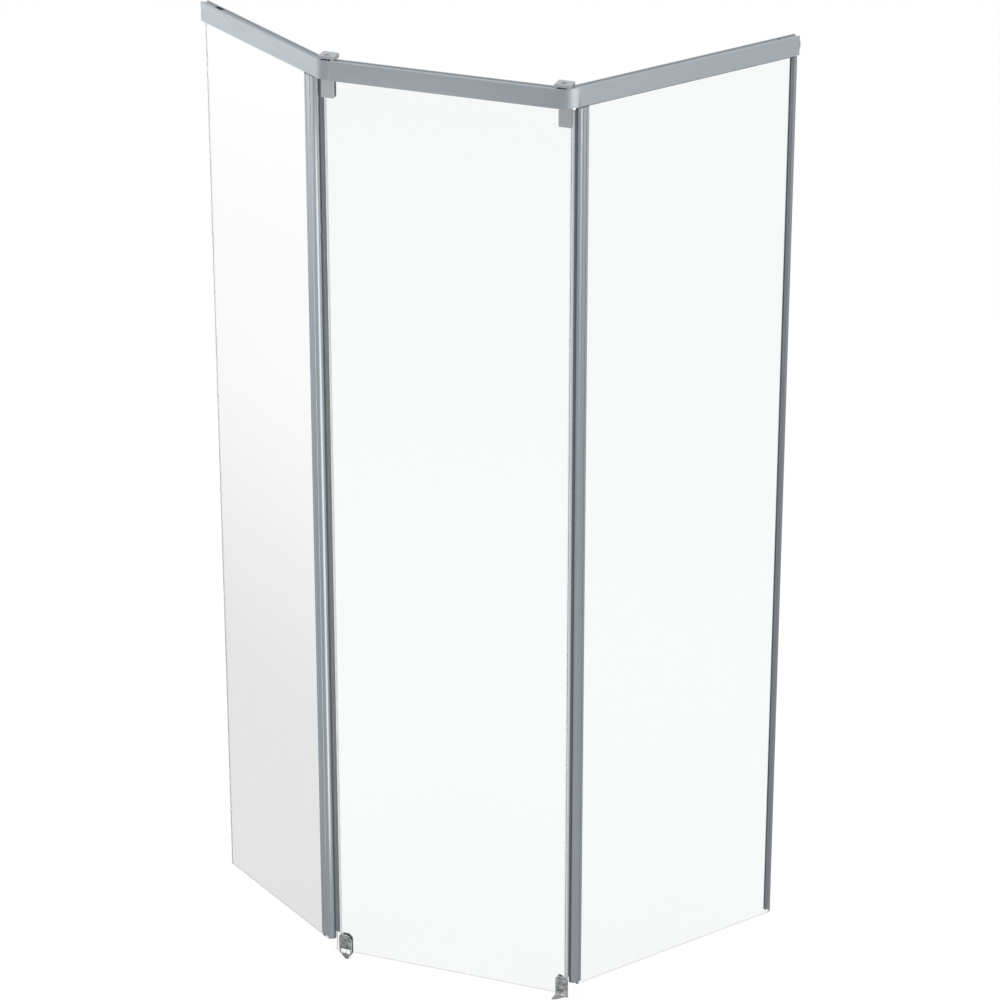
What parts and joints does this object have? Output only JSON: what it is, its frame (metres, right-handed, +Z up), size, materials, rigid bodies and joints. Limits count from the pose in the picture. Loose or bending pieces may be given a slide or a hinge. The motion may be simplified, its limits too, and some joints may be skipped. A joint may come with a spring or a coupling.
{
  "type": "shower enclosure",
  "caption": "Five-sided corner shower enclosure front: bent open-top aluminium rail, fixed angled clear glass pane on clamps and two clear glass pivot doors.",
  "frame": {"origin": "on the floor under the lowest feet, in the middle of the enclosure front's plan box", "axes": "+Z up, +X along the left glass side away from its wall, +Y along the right glass side towards its wall; the room's corner is at -X, +Y and people walk in from +X, -Y"},
  "size_m": [0.8208, 0.8106, 1.9265],
  "materials": {
    "aluminium": "satin anodised",
    "bracket_metal": "satin",
    "chrome": "polished",
    "steel": "satin",
    "glass": "clear toughened glass",
    "clear_seal": "soft translucent",
    "rubber": "matt",
    "grey_nylon": "matt",
    "magnet": "matt"
  },
  "bodies": {
    "frame": {"top_rail": "aluminium", "rail_infill": "aluminium", "rail_connector_left": "grey_nylon", "rail_connector_right": "grey_nylon", "connector_screws": "steel", "fixed_pane": "glass", "pane_seal_left": "clear_seal", "pane_seal_right": "clear_seal", "pane_fin_left": "rubber", "pane_fin_right": "rubber", "rail_bracket_left": "bracket_metal", "rail_bracket_right": "bracket_metal", "clamp_plate_left": "bracket_metal", "clamp_plate_right": "bracket_metal", "bracket_pads": "rubber", "clamp_screws": "steel", "bridge_screws": "steel", "channel_nuts": "steel", "foot_clip_left": "chrome", "foot_clip_right": "chrome", "clip_pads": "rubber", "clip_screws": "steel", "wedge_foot_left": "chrome", "wedge_foot_right": "chrome", "pivot_bush_left": "grey_nylon", "pivot_bush_right": "grey_nylon"},
    "left_door": {"left_door_pane": "glass", "left_hinge_post": "aluminium", "left_post_gasket": "rubber", "left_post_caps": "grey_nylon", "left_upper_pin": "steel", "left_lower_bush": "grey_nylon"},
    "right_door": {"right_door_pane": "glass", "right_hinge_post": "aluminium", "right_post_gasket": "rubber", "right_post_caps": "grey_nylon", "right_upper_pin": "steel", "right_lower_bush": "grey_nylon", "closing_profile": "aluminium", "closing_gasket": "rubber", "magnetic_strip": "magnet"}
  },
  "joints": [
    {"name": "left_door_hinge", "type": "hinge", "parent": "frame", "child": "left_door", "pos_m": [-0.0163, -0.3955, 0.042], "axis": [0, 0, 1], "range_deg": [-75, 90]},
    {"name": "right_door_hinge", "type": "hinge", "parent": "frame", "child": "right_door", "pos_m": [0.4, -0.097, 0.042], "axis": [0, 0, 1], "range_deg": [-90, 75]}
  ]
}
